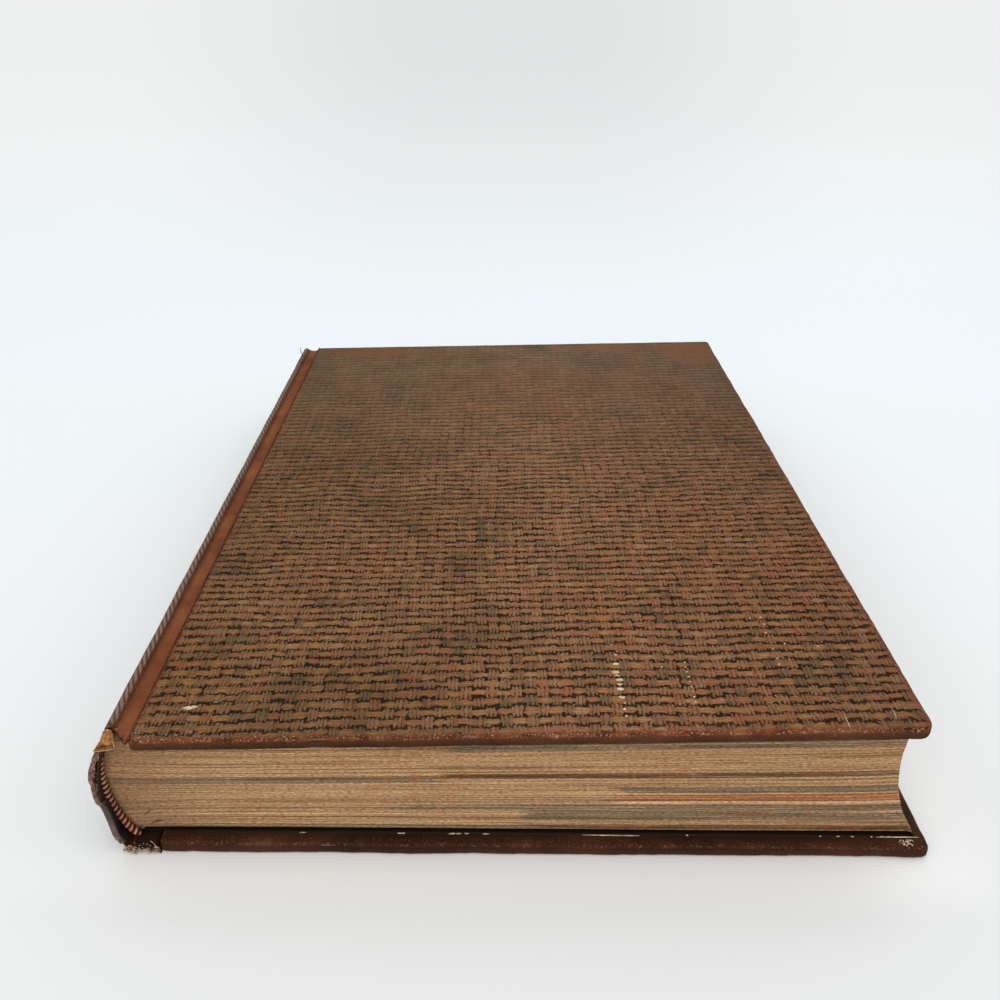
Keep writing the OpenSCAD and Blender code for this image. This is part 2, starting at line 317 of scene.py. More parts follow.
def cover_cloth_material(name):
    """Book cloth printed and pressed with a basket weave, browned and rubbed by handling.
    The eye reads strands of rust, ochre and olive round small near-black holes, duller far away."""
    m, add = new_material(name)
    uv = add("UVMap", uv_map="UVMap")
    place = add("TexCoord", out=3)
    spot = add("SeparateXYZ", place)
    across_x, along_y = spot, spot.node.outputs[1]
    wander = add("VectorMath", add("noise", uv, 1.4, 2, out=1), (0.5, 0.5, 0.5), operation="SUBTRACT")
    woven = add("VectorMath", wander, (0.36, 0.30, 0), uv, operation="MULTIPLY_ADD")
    split = add("SeparateXYZ", woven)
    col, row = split, split.node.outputs[1]
    i, j = add("FLOOR", col), add("FLOOR", row)
    parity = add("FLOORED_MODULO", add("ADD", i, j), 2.0)
    fx, fy = (add("SUBTRACT", add("FRACT", q), 0.5) for q in (col, row))
    dx, dy = add("ABSOLUTE", fx), add("ABSOLUTE", fy)
    swap = lambda a, b: add("Mix", parity, a, b)
    hx = swap(dx, add("SUBTRACT", 1.0, dx))
    vy = swap(add("SUBTRACT", 1.0, dy), dy)

    def own(a, b, seed):
        """Three random numbers that belong to one strand."""
        at = add("CombineXYZ", a, b, seed)
        parts = add("SeparateColor", add("TexWhiteNoise", at, out=1))
        return parts, parts.node.outputs[1], parts.node.outputs[2]

    flat_own = own(add("MULTIPLY_ADD", add("SIGN", fx), parity, i), j, 1.0)
    tall_own = own(i, add("MULTIPLY_ADD", add("SIGN", fy), add("SUBTRACT", 1.0, parity), j), 2.0)
    shaken = add("VectorMath", uv, (2.6, 5.2, 0.0), operation="MULTIPLY")
    shaken = add("VectorMath", add("noise", shaken, 1.0, 3, out=1), (0.5, 0.5, 0.5), operation="SUBTRACT")
    shaken = add("SeparateXYZ", add("VectorMath", shaken, (0.42, 0.5, 0), operation="MULTIPLY"))
    wobble = add("MULTIPLY", add("SUBTRACT", add("noise", uv, 4.2, 4), 0.5), 1.5)

    def spindle(a, half_a, b, half_b):
        """1 in the middle, 0 on the rim of a long lens, less outside."""
        first = add("POWER", add("DIVIDE", add("ABSOLUTE", a), half_a), 2.2)
        second = add("POWER", add("DIVIDE", add("ABSOLUTE", b), half_b), 2.2)
        return add("ADD", add("SUBTRACT", add("SUBTRACT", 1.0, first), second), wobble)

    low_y = add("ADD", add("ADD", fy, shaken.node.outputs[1]), add("range", flat_own[2], 0, 1, -0.06, 0.06))
    flat = spindle(hx, add("range", flat_own[0], 0, 1, 0.62, 0.98), low_y,
                   add("range", flat_own[1], 0, 1, 0.30, 0.42))
    side_x = add("ADD", add("ADD", fx, shaken), add("range", tall_own[2], 0, 1, -0.1, 0.1))
    bundle = add("MULTIPLY", side_x, add("range", tall_own[0], 0, 1, 3.4, 2.2))
    nearest = add("ROUND", bundle)
    upright = spindle(add("SUBTRACT", bundle, nearest), 0.53, vy, add("range", tall_own[1], 0, 1, 0.50, 0.72))
    upright = add("SUBTRACT", upright, add("POWER", add("ABSOLUTE", add("DIVIDE", side_x, 0.52)), 6.0))
    is_upright = add("GREATER_THAN", upright, flat)
    strand = add("MAXIMUM", flat, upright)
    mask = add("soft_range", strand, -0.12, 0.34)
    # two or three fine threads side by side in each strand
    fine = add("Mix", is_upright, row, add("MULTIPLY_ADD", row, 0.22, col))
    fine = add("ADD", fine, add("MULTIPLY", add("noise", uv, 2.6, 2), 0.4))
    lines = add("MULTIPLY", add("PINGPONG", add("MULTIPLY", fine, 3.4), 0.5), 2.0)
    depth = add("POWER", add("MAXIMUM", strand, 0.0), 0.5)
    rub = add("Attribute", attribute_name="rub", out=2)
    printed = add("Attribute", attribute_name="print", out=2)
    ridge = add("Attribute", attribute_name="ridge", out=2)
    # colour of a strand: its own, its neighbourhood's, its row's and its column's
    parts = [(add("Mix", is_upright, flat_own[2], tall_own[2]), 0.24),
             (add("noise", place, 60.0, 3), 0.5), (add("noise", uv, 0.9, 3), 0.45),
             (add("noise", add("CombineXYZ", add("MULTIPLY", col, 0.07), row), 1.1, 1), 0.3),
             (add("noise", add("CombineXYZ", col, add("MULTIPLY", row, 0.07)), 1.1, 1), 0.25)]
    tone = -0.37
    for value, share in parts:
        tone = add("MULTIPLY_ADD", value, share, tone)
    flats = add("ramp", tone, stops=[(0.20, "6c5236"), (0.36, "7f5c3d"), (0.45, "905d40"), (0.53, "8d6645"),
                                     (0.60, "95683c"), (0.68, "997458"), (0.80, "975532")])
    talls = add("ramp", tone, stops=[(0.20, "604c34"), (0.38, "74593e"), (0.48, "845c42"), (0.56, "8e6b4c"),
                                     (0.66, "8c543a"), (0.78, "836a46")])
    threads = add("blend", is_upright, flats, talls)
    shade = add("Mix", is_upright, add("range", lines, 0, 1, 0.62, 1.0), 0.86)
    shade = add("MULTIPLY", shade, add("range", add("noise", place, 1700.0, 2), 0, 1, 0.66, 1.34))
    # painted shade of the strands' round profile: each strand is darker towards its rims by its depth
    shade = add("MULTIPLY", shade, add("range", depth, 0, 1, 0.62, 1.16))
    threads = add("tint", 1.0, threads, add("CombineColor", shade, shade, shade))
    ground = add("ramp", add("noise", place, 240.0, 2), stops=[(0.3, "1c0b02"), (0.5, "281503"), (0.60, "2b1d08"),
                                                               (0.68, "1d2014")])
    weave = add("blend", mask, ground, threads)
    # worn rims with a painted highlight on the inner arris, plain cloth of the joints with painted shade across the
    # groove and on the rims, and the corded ridge
    grit = add("noise", place, 1900.0, 2)
    worn = add("ramp", add("noise", place, 150.0, 4), stops=[(0.3, "3a1a0e"), (0.5, "542817"), (0.62, "6a3a24"),
                                                             (0.74, "8a6244")])
    worn = add("blend", add("range", grit, 0.55, 0.68, 0, 0.75), worn, "b08c6a")
    plain = add("ramp", add("noise", place, 110.0, 4), stops=[(0.3, "63361f"), (0.5, "784528"), (0.7, "895535")])
    # painted shade across the joint's groove: the cloth is darker beside the ridge and just before the board's edge
    groove_painted_shade = add("range", add("SeparateXYZ", uv), 0.3, 2.1)
    groove_painted_shade = add("ramp", groove_painted_shade, stops=[(0.0, "a09084"), (0.3, "ffffff"), (0.75, "fff0e4"), (0.88, "9c8272"),
                                        (0.97, "9c8272"), (1.0, "ffffff")])
    plain = add("tint", 1.0, plain, groove_painted_shade)
    # painted shade: where ridge is below 0, on the rims' edge faces, the turned-in cloth and the back joint's groove,
    # the cloth turns a darker brown
    rim = add("ramp", add("noise", place, 60.0, 4), stops=[(0.3, "2e1a0e"), (0.5, "3c2313"), (0.7, "4c2f1b")])
    plain = add("blend", add("range", ridge, 0.0, -1.0), plain, rim)
    turn = add("SeparateXYZ", uv)
    cord = add("MULTIPLY_ADD", turn, 2.2, add("MULTIPLY_ADD", add("noise", uv, 1.5, 2), 0.5, turn.node.outputs[1]))
    cord = add("MULTIPLY", add("PINGPONG", cord, 0.5), 2.0)
    corded = add("ramp", cord, stops=[(0.04, "35271f"), (0.2, "5b483c"), (0.5, "755e51"), (0.9, "867064")])
    plain = add("blend", ridge, plain, corded)
    colour = add("blend", printed, plain, weave)
    # rubbed wear, and a painted highlight along the inner arris, both drawn in the worn colours
    rubbed_and_painted_highlight = add("MULTIPLY", rub, add("range", add("noise", place, 420.0, 3), 0, 1, -0.4, 2.0))
    rubbed_and_painted_highlight = add("Clamp", rubbed_and_painted_highlight)
    colour = add("blend", rubbed_and_painted_highlight, colour, worn)
    # the print has faded towards the head, and old damp has left brown clouds
    faded = add("soft_range", along_y, -0.04, 0.125, 0, 0.62)
    faded = add("MULTIPLY", faded, printed)
    cloud = add("ramp", add("noise", place, 75.0, 3), stops=[(0.35, "554737"), (0.5, "60503f"), (0.65, "6b5845")])
    colour = add("blend", faded, colour, cloud)
    for x, y, size_x, size_y, amount in ((-0.063, 0.122, 0.022, 0.010, 0.5), (0.082, 0.114, 0.016, 0.016, 0.55),
                                         (0.05, 0.122, 0.03, 0.005, 0.35)):
        away = add("VectorMath", place, (x, y, 0.0), operation="SUBTRACT")
        away = add("VectorMath", away, (1 / size_x, 1 / size_y, 0.0), operation="MULTIPLY")
        away = add("ADD", add("VectorMath", away, out=1, operation="LENGTH"), add("noise", place, 160.0, 3))
        mark = add("soft_range", away, 1.6, 1.1, 0, amount)
        colour = add("blend", mark, colour, "7d5236")
    grime = add("ramp", add("noise", place, 16.0, 4), stops=[(0.3, "dcd8cc"), (0.5, "ffffff"), (0.75, "fff0e2")])
    colour = add("tint", 1.0, colour, grime)
    left = add("ramp", add("range", across_x, -0.095, 0.095), stops=[(0.0, "e2e2d4"), (0.55, "ffffff"), (1.0,
                                                                                                         "e6e2de")])
    colour = add("blend", printed, colour, add("tint", 1.0, colour, left))
    # painted shade: parts with a ridge value, such as the edge faces and the joints, darken towards near-black within
    # 6 mm of the floor
    under = add("MULTIPLY", add("range", spot.node.outputs[2], 0.006, 0.001, 0, 0.45), add("ABSOLUTE", ridge))
    colour = add("blend", under, colour, "1c0d06")
    height = add("MULTIPLY", add("MULTIPLY_ADD", lines, 0.18, depth), add("SUBTRACT", printed, faded))
    height = add("MULTIPLY_ADD", add("noise", place, 900.0, 2), 0.3, height)
    height = add("MULTIPLY_ADD", add("MULTIPLY", cord, add("Clamp", ridge)), 0.8, height)
    return finish_surface(m, add, colour, 0.8, height, distance=0.0002, specular=0.12)


front_cloth = cover_cloth_material("pressed_basket_weave_book_cloth")


def joint_strip(place, start, first, torn):
    """The ridge and the groove beside it as one closed shell of cloth.
    Its section goes over the ridge, a circle about the hinge line, dips into the groove and climbs
    to the board; its underside comes back a cloth's thickness lower. Where it is torn, its tail end
    runs aslant from ridge to board, and where it is not, the ridge's tail end is set back 1.6 mm."""
    turns = np.radians(np.linspace(235, 25, 22))
    ridge = np.stack([RIDGE_R * np.cos(turns), RIDGE_R * np.sin(turns)], -1)
    t = np.linspace(0, 1, 18)[1:]
    groove_u = mix(ridge[-1, 0], start + 0.55, t)
    low = 0.2
    groove_w = low + (ridge[-1, 1] - low) * (1 - ease((groove_u - ridge[-1, 0]) / 1.6))
    groove_w = groove_w + (COVER_T / 2 + 0.01 - low) * ease((groove_u - start + 1.05) / 1.6)
    top = np.concatenate([ridge, np.stack([groove_u, groove_w], -1)])
    under = np.stack([groove_u, groove_w - 0.55], -1)[::-1]
    inner_turns = np.radians(np.linspace(25, 235, 12))
    inner = np.stack([0.8 * np.cos(inner_turns), 0.8 * np.sin(inner_turns)], -1)
    section = np.concatenate([top, under, inner])
    n, rows = len(section), 240
    begin = 0.05 + torn * (np.interp(section[:, 0], [-1.4, 1.1, 5.4], [5.9, 5.2, 0.1])
                           + 0.5 * soft_noise(section[:, 0] * 2, 0, 1.3, 43))
    begin = np.maximum(begin + (1 - torn) * 1.6 * ease((0.5 - section[:, 0]) / 1.5), 0.05)
    v = begin + np.linspace(0, 1, rows)[:, None] * (BOARD_H - 0.05 - begin)
    u, w = section[:, 0] + 0 * v, section[:, 1] + 0 * v
    outer = np.arange(n) < len(top)
    near_ridge = np.arange(n) < 22
    w = w + np.where(near_ridge, 0.12, 0.04) * soft_noise(v, u * 3, 7, 41) * outer
    w = w + np.where(near_ridge, 0.05, 0.03) * soft_noise(v, u * 2, 1.7, 44) * outer
    u = u + np.where(near_ridge, 0.07, 0) * soft_noise(v, u * 3, 9, 42)
    faces = tube_faces(rows, n, first)
    uv = np.stack([u / PITCH_U, v / PITCH_V], -1).reshape(-1, 2)
    corded = near_ridge * ease((1.15 - section[:, 0]) / 0.7)
    # painted shadow: on the back cover's untorn strip, the values below 0 over the groove darken it like the rims and
    # near the floor
    if not torn:
        corded = corded - 1.7 * ease((section[:, 0] - 1.2) / 1.2)
    rub = 0.12 + 0.45 * ease((section[:, 0] - start + 0.4) / 1.2) + 0.25 * ease((section[:,
                                                                                         0] - 0.9) / 0.5) * near_ridge
    worn_end = torn * np.exp(-(v - begin) / 1.2)
    return (place(u, v, w).reshape(-1, 3), faces, uv, np.clip(rub + worn_end, 0, 1).ravel(),
            (corded + 0 * u).ravel())


def cover_skin(name, place, start, wide, blunt, body, torn=0):
    """The cloth of one cover: a net over its outer face with the weave's relief, closed round the
    wrapped edges and across the turned-in cloth by rings.
    Outer face: u, v on an even net inside the rounded edges; the net's corners are bent onto arcs.
    Edges: rings at angle a have their point at rim + EDGE_R*cos a outwards and EDGE_R*sin a up."""
    nu, nv = 236, 330
    low_u, high_u = start + EDGE_R, start + wide - EDGE_R
    low_v, high_v = EDGE_R, BOARD_H - EDGE_R
    u, v = np.meshgrid(np.linspace(low_u, high_u, nu), np.linspace(low_v, high_v, nv), indexing="ij")
    corners = [(low_u, low_v, 1, 1, CORNER_R), (high_u, low_v, -1, 1, blunt),
               (low_u, high_v, 1, -1, CORNER_R), (high_u, high_v, -1, -1, CORNER_R)]
    for cu, cv, su, sv, radius in corners:
        r = radius - EDGE_R
        a, b = 1 - (u - cu) * su / r, 1 - (v - cv) * sv / r
        inside = (a > 0) & (b > 0)
        big = np.maximum(a, b)
        angle = np.where(a >= b, b / np.maximum(a, 1e-9), 2 - a / np.maximum(b, 1e-9)) * math.pi / 4
        u = np.where(inside, cu + su * r * (1 - big * np.cos(angle)), u)
        v = np.where(inside, cv + sv * r * (1 - big * np.sin(angle)), v)
    col, row = weave_place(u, v)
    edge = np.minimum(np.minimum(u - low_u, high_u - u), np.minimum(v - low_v, high_v - v))
    relief = 0.13 * weave_numbers(col, row) * ease(edge / 2.5)
    w = COVER_T / 2 - 0.15 + relief + 0.05 * soft_noise(u, v, 26, 21)
    w = mix(COVER_T / 2 - 0.06, w, ease(edge / 2.0))
    rim_index = np.concatenate([np.arange(nu - 1) * nv, (nu - 1) * nv + np.arange(nv - 1),
                                (np.arange(nu - 1, 0, -1)) * nv + nv - 1, np.arange(nv - 1, 0, -1)])
    rim_u, rim_v = u.ravel()[rim_index], v.ravel()[rim_index]
    before, after = np.roll(np.arange(len(rim_u)), 1), np.roll(np.arange(len(rim_u)), -1)
    tu, tv = rim_u[after] - rim_u[before], rim_v[after] - rim_v[before]
    size = np.hypot(tu, tv)
    out_u, out_v = tv / size, -tu / size
    top = COVER_T / 2 - 0.06
    ring_out, ring_w = [], []
    for angle in (65, 40, 18, 0):
        ring_out.append(EDGE_R * math.cos(math.radians(angle)))
        ring_w.append(top - EDGE_R * (1 - math.sin(math.radians(angle))))
    low = -COVER_T / 2 + PAPER_T
    for angle in (0, 30, 60, 90):
        ring_out.append(EDGE_R * math.cos(math.radians(angle)))
        ring_w.append(low + EDGE_R * (1 - math.sin(math.radians(angle))))
    ring_out.append(0)
    ring_w.append(low)
    ring_out, ring_w = np.array(ring_out), np.array(ring_w)
    dent = 0.18 * soft_noise(rim_u, rim_v, 8, 31) + 0.1 * soft_noise(rim_u, rim_v, 2.2, 32)
    outwards = ring_out[:, None] + np.where(ring_out > 0.3, 1, 0)[:, None] * (dent - 0.12)
    ru, rv = rim_u + out_u * outwards, rim_v + out_v * outwards
    ru[-1], rv[-1] = mix(rim_u.mean(), rim_u, 0.97), mix(HALF_H, rim_v, 0.98)
    rw = np.broadcast_to(ring_w[:, None], ru.shape) + 0 * ru
    points = np.concatenate([place(u, v, w).reshape(-1, 3), place(ru, rv, rw).reshape(-1, 3)])
    faces = grid_faces(nu, nv)
    n, first = len(rim_u), nu * nv
    a = rim_index
    rows = [a] + [first + k * n + np.arange(n) for k in range(len(ring_out))]
    skirt = [np.stack([p, q, np.roll(q, -1), np.roll(p, -1)], -1) for p, q in zip(rows[:-1], rows[1:])]
    faces = faces.tolist() + np.concatenate(skirt).tolist()
    faces.append(rows[-1].tolist())
    ucol, urow = weave_place(ru, rv)
    around = lambda *values: np.broadcast_to(np.array(values)[:, None], ru.shape).ravel()
    uv = np.concatenate([np.stack([col, row], -1).reshape(-1, 2),
                         np.stack([ucol, urow - rw / PITCH_V], -1).reshape(-1, 2)])
    inner = np.minimum(np.minimum(u - low_u + 0.6, high_u - u), np.minimum(v - low_v + 0.3, high_v - v))
    margin = inner - 0.12 - 0.3 * soft_noise(u, v, 3, 33)
    shown = np.concatenate([ease(margin / 0.7).ravel(), around(0, 0, 0, 0, 0, 0, 0, 0, 0)])
    # wear on the face's rim and the outer arris; the larger values on the rings round the inner arris paint a
    # highlight along it
    rub = np.concatenate([(0.6 * (1 - ease(edge / 0.9)) + 0.14 * (1 - ease(edge / 6))).ravel(),
                          around(1, 1, .75, .2, .05, .35, .6, .4, .05)])
    # painted shade zone: the outer arris's lower rings, the edge face and the turned-in cloth get the darker rim
    # colour
    painted_shade_zone = np.concatenate([0 * rub[:nu * nv], around(0, 0, -.3, -.8, -1, -1, -1, -1, -1)])
    strip_points, strip_faces, strip_uv, strip_rub, corded = joint_strip(place, start, len(points), torn)
    points = np.concatenate([points, strip_points])
    faces += strip_faces
    uv = np.concatenate([uv, strip_uv])
    values = {"print": np.concatenate([shown, 0 * strip_rub]), "rub": np.concatenate([rub, strip_rub]),
              "ridge": np.concatenate([painted_shade_zone, corded])}
    obj = piece(name, points, faces, front_cloth, uv, values)
    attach(obj, body)
    return obj


front_skin = cover_skin("front_cover_skin", on_front, JOINT_W, BOARD_W, BLUNT_R, "front_cover", torn=1)
back_skin = cover_skin("back_cover_skin", on_back, 7.6, BOARD_W + BACK_JOINT_W - 7.6, CORNER_R, "back_cover")


# ---------------------------------------------------------------- leaves
def arc_x(low, high, bulge, z):
    """x at height z on the arc through two points of the section, hollow towards +X by bulge."""
    low, high = np.array(low), np.array(high)
    chord = np.hypot(*(high - low))
    radius = chord ** 2 / (8 * bulge) + bulge / 2
    ahead = (high - low) / chord
    centre = (low + high) / 2 + np.array([ahead[1], -ahead[0]]) * (radius - bulge)
    return centre[0] - np.sqrt(radius ** 2 - (z - centre[1]) ** 2)


def top_z(x):
    """Height of the block's top."""
    return BACK_TOP_Z + SLOPE * (x - BLOCK_X)


FORE_LOW, FORE_HIGH = [93.6, BLOCK_Z], [86.6, top_z(86.6)]


# The tones of old paper, from the dark beside the boards to clean cream; each gathering has one of them.
# The dark tone is painted shadow at the leaves' foot, and the shadow tone is painted shade in dark bands
TONES = {"dark": "170f09", "shadow": "6a5238", "dust": "7c6f58", "tan": "b09168", "warm": "bd9e74",
         "cream": "d2b286", "rust": "ab7348"}


def gatherings(*bands, soft=0.003):
    """Ramp stops for bands of leaves: each (level, tone) starts a band, with a soft border."""
    stops = []
    for start, tone in bands:
        if stops:
            stops.append((start - soft, stops[-1][1]))
        stops.append((start + soft if stops else start, TONES[tone]))
    return stops


def leaves_material():
    """The cut edges of old book paper: hundreds of leaves, foxed and darkened in bands.
    The eye reads fine level lines of cream, tan and grey; some gatherings are darker on one side."""
    m, add = new_material("browned_cut_paper_edges")
    uv = add("UVMap", uv_map="UVMap")
    split = add("SeparateXYZ", uv)
    along, level = split, split.node.outputs[1]
    place = add("TexCoord", out=3)
    across_x = add("SeparateXYZ", place)

    def streaks(scale_along, scale_up, detail=2.0, seed=0.0):
        """Noise drawn out along the leaves, around 0.5. A leaf is about 0.1 mm thick, too fine to show, so the
        lines are about 0.25 mm apart."""
        vector = add("CombineXYZ", add("MULTIPLY", along, scale_along), add("MULTIPLY", level, scale_up), seed)
        return add("noise", vector, 1.0, detail)

    s = add("MULTIPLY_ADD", add("SUBTRACT", streaks(16, 3, 1.0), 0.5), 0.026, level)
    spine_side = add("ramp", s, stops=gatherings(
        (0.0, "dark"), (0.026, "dust"), (0.072, "warm"), (0.095, "shadow"), (0.102, "tan"), (0.185, "cream"),
        (0.204, "shadow"), (0.213, "warm"), (0.255, "shadow"), (0.262, "tan"), (0.39, "warm"), (0.437, "tan"),
        (0.522, "dust"), (0.571, "shadow"), (0.58, "warm"), (0.705, "tan")))
    # on the fore side the top band, under the front board's edge, is dust and painted shade of the board
    fore_side = add("ramp", s, stops=gatherings(
        (0.0, "dark"), (0.028, "tan"), (0.04, "shadow"), (0.085, "tan"), (0.13, "dust"), (0.23, "cream"),
        (0.239, "dust"), (0.3, "cream"), (0.33, "shadow"), (0.338, "rust"), (0.403, "cream"), (0.412, "dust"),
        (0.478, "tan"), (0.565, "shadow"), (0.616, "tan"), (0.845, "dust")))
    # the dark gatherings begin at different places along the tail edge
    begins = add("ramp", s, stops=[(0.0, 0.49), (0.132, 0.493), (0.243, 0.351), (0.30, 0.603), (0.482, 0.40),
                                   (0.83, 0.4085)], between="CONSTANT")
    edge = add("MULTIPLY_ADD", add("SUBTRACT", streaks(30, 90, 2.0, 4.0), 0.5), 0.016, across_x)
    dark = add("SUBTRACT", edge, add("MULTIPLY_ADD", begins, 0.2, -0.1))
    dark = add("range", dark, 0.0, 0.003)
    colour = add("blend", dark, spine_side, fore_side)
    lines = streaks(7.0, 62.0, 5.0, 7.0)
    fine = streaks(30.0, 115.0, 2.0, 9.0)
    soft = streaks(110.0, 40.0, 3.0, 11.0)
    for value, low, high, amount, code in ((lines, 0.48, 0.34, 0.72, "4a2f1a"), (fine, 0.47, 0.3, 0.55, "4a2f1c"),
                                           (lines, 0.55, 0.7, 0.5, "e3c79c"), (fine, 0.56, 0.72, 0.42, "e8cca2"),
                                           (soft, 0.45, 0.3, 0.22, "8a6038"), (soft, 0.56, 0.7, 0.25, "d2ae84")):
        colour = add("blend", add("range", value, low, high, 0, amount), colour, code)
    fox = add("range", add("noise", place, 500.0, 4), 0.5, 0.66, 0, 0.4)
    fox = add("MULTIPLY", fox, add("range", add("noise", place, 70.0, 3), 0.45, 0.62))
    colour = add("blend", fox, colour, "a96a34")
    # brown with glue and dust beside the spine
    glue = add("soft_range", across_x, -0.066, -0.094, 0, 0.5)
    colour = add("blend", glue, colour, "7c6049")
    rough = add("range", streaks(1000.0, 95.0, 2.0, 13.0), 0.32, 0.68, 0.6, 1.42)
    colour = add("tint", 1.0, colour, add("CombineColor", rough, rough, rough))
    colour = add("tint", 1.0, colour, "f6eae8")
    bump = add("MULTIPLY_ADD", fine, 0.6, lines)
    return finish_surface(m, add, colour, 0.95, bump, distance=0.00025, specular=0.1)


# How far the leaves lean at the tail, per mm of height; a leaf with its joint, in metres
TAIL_LEAN = 0.1
LEAF_W, LEAF_H = 0.187, 0.25


def leaf_block():
    """The block of leaves as a net: rows are leaf levels s from 0 to 1, columns run round the leaf.
    A row's height is bottom + s*(top - bottom), fanned out by a sine of s near the spine; each leaf
    stands in or out of the cut edge by a small random amount, and the lowest ones are set back."""
    rows = 250
    s = np.linspace(0, 1, rows)[:, None]
    counts = {"tail": 150, "fore": 90, "head": 70, "back": 6}
    t = np.concatenate([k + np.arange(n) / n for k, n in enumerate(counts.values())])[None, :]
    side = np.floor(t).astype(int)
    part = t - side
    length = np.where(side == 0, part, np.where(side == 1, 1, np.where(side == 2, 1 - part, 0)))
    x_back = arc_x([BLOCK_X, BLOCK_Z], [BLOCK_X, BACK_TOP_Z], BACK_BULGE, BLOCK_Z + s * (BACK_TOP_Z - BLOCK_Z))
    x_fore = arc_x(FORE_LOW, FORE_HIGH, FORE_HOLLOW, BLOCK_Z + s * (FORE_HIGH[1] - BLOCK_Z))
    x = mix(x_back, x_fore, length)
    half = HALF_H - SQUARE
    y = np.select([side == 0, side == 1, side == 2], [-half + 0 * part, mix(-half, half, part), half + 0 * part],
                  mix(half, -half, part)) + 0 * x
    from_spine = x - x_back
    fan = 0.042 * np.sin(2 * math.pi * (s - 0.5)) * np.exp(-from_spine / 9)
    fan = fan + 0.018 * np.sin(math.pi * s) * np.exp(-(x_fore - x) / 6)
    z = BLOCK_Z + (s + fan) * (top_z(x) - BLOCK_Z)
    each = np.random.default_rng(3).uniform(-1, 1, (rows, 1))
    inwards = 0.05 + 0.05 * each + 0.07 * (1 + soft_noise(x + y, s * 900, 40, 51)) + 0.9 * ease((0.03 - s) / 0.012)
    deep = 1 - ease((s - 0.022) / 0.012)
    inwards = np.where(side == 3, 0.3, inwards + 0.6 * deep)
    y = y + np.where(side == 0, inwards, np.where(side == 2, -inwards, 0))
    x = x - np.where(side == 1, 0.08 + 0.06 * each + 0.05 * soft_noise(y, s * 900, 50, 52), 0)
    x = x + np.where(side == 3, 0.3, 0)
    z = np.clip(z, BLOCK_Z + 0.02, top_z(x) - 0.02)
    x = x - TAIL_LEAN * (z - 12.5) * np.exp(-from_spine / 10) * np.exp(-(y + half) / 6)
    n = t.shape[1]
    points = np.stack([x + 0 * t, y + 0 * t, z + 0 * t], -1).reshape(-1, 3)
    faces = tube_faces(rows, n)
    # UV in metres: across the leaf's tail edge, up its fore-edge, back along its head, down its back
    run = np.select([side == 0, side == 1, side == 2],
                    [length * LEAF_W, LEAF_W + part * LEAF_H, LEAF_W + LEAF_H + part * LEAF_W],
                    2 * LEAF_W + LEAF_H + part * LEAF_H)
    uv = np.stack([run + 0 * s, s + 0 * t], -1).reshape(-1, 2)
    obj = piece("leaf_edges", points, faces, paper_block, uv, smooth=35)
    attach(obj, "leaves")
    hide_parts("text_block")
    return obj


paper_block = leaves_material()
leaf_block()


# ---------------------------------------------------------------- spine
# Centre of the back's arc, and from it the case cloth's outside and the middle of the bands' cords;
# the spine cloth is torn away at the tail above TEAR_Z
SPINE_C = np.array([-61.9276, 17.0])
CASE_R, BAND_R = 34.37, 32.27
TEAR_Z = 14.6


def spine_cloth_material():
    """Spine cloth of a leather-like grain, dark purple-brown and dulled, torn and felted at the tail.
    The eye reads a smooth dark roll with diagonal tool marks and a raw, pinkish broken edge."""
    m, add = new_material("grained_spine_cloth_worn")
    place = add("TexCoord", out=3)
    raw = add("Attribute", attribute_name="raw", out=2)
    tone = add("noise", place, 160.0, 5)
    dark = add("ramp", tone, stops=[(0.3, "2a1f1b"), (0.5, "443630"), (0.68, "62504a")])
    felt = add("ramp", add("noise", place, 900.0, 4), stops=[(0.3, "3f2a1f"), (0.5, "68493a"), (0.7, "967b69")])
    colour = add("blend", raw, dark, felt)
    # painted shadow: near-black where the cloth is marked inside, beside the end band
    colour = add("blend", add("Attribute", attribute_name="inside", out=2), colour, "140c0a")
    grain = add("noise", place, 1500.0, 3)
    return finish_surface(m, add, colour, 0.6, grain, distance=0.0002, specular=0.3)


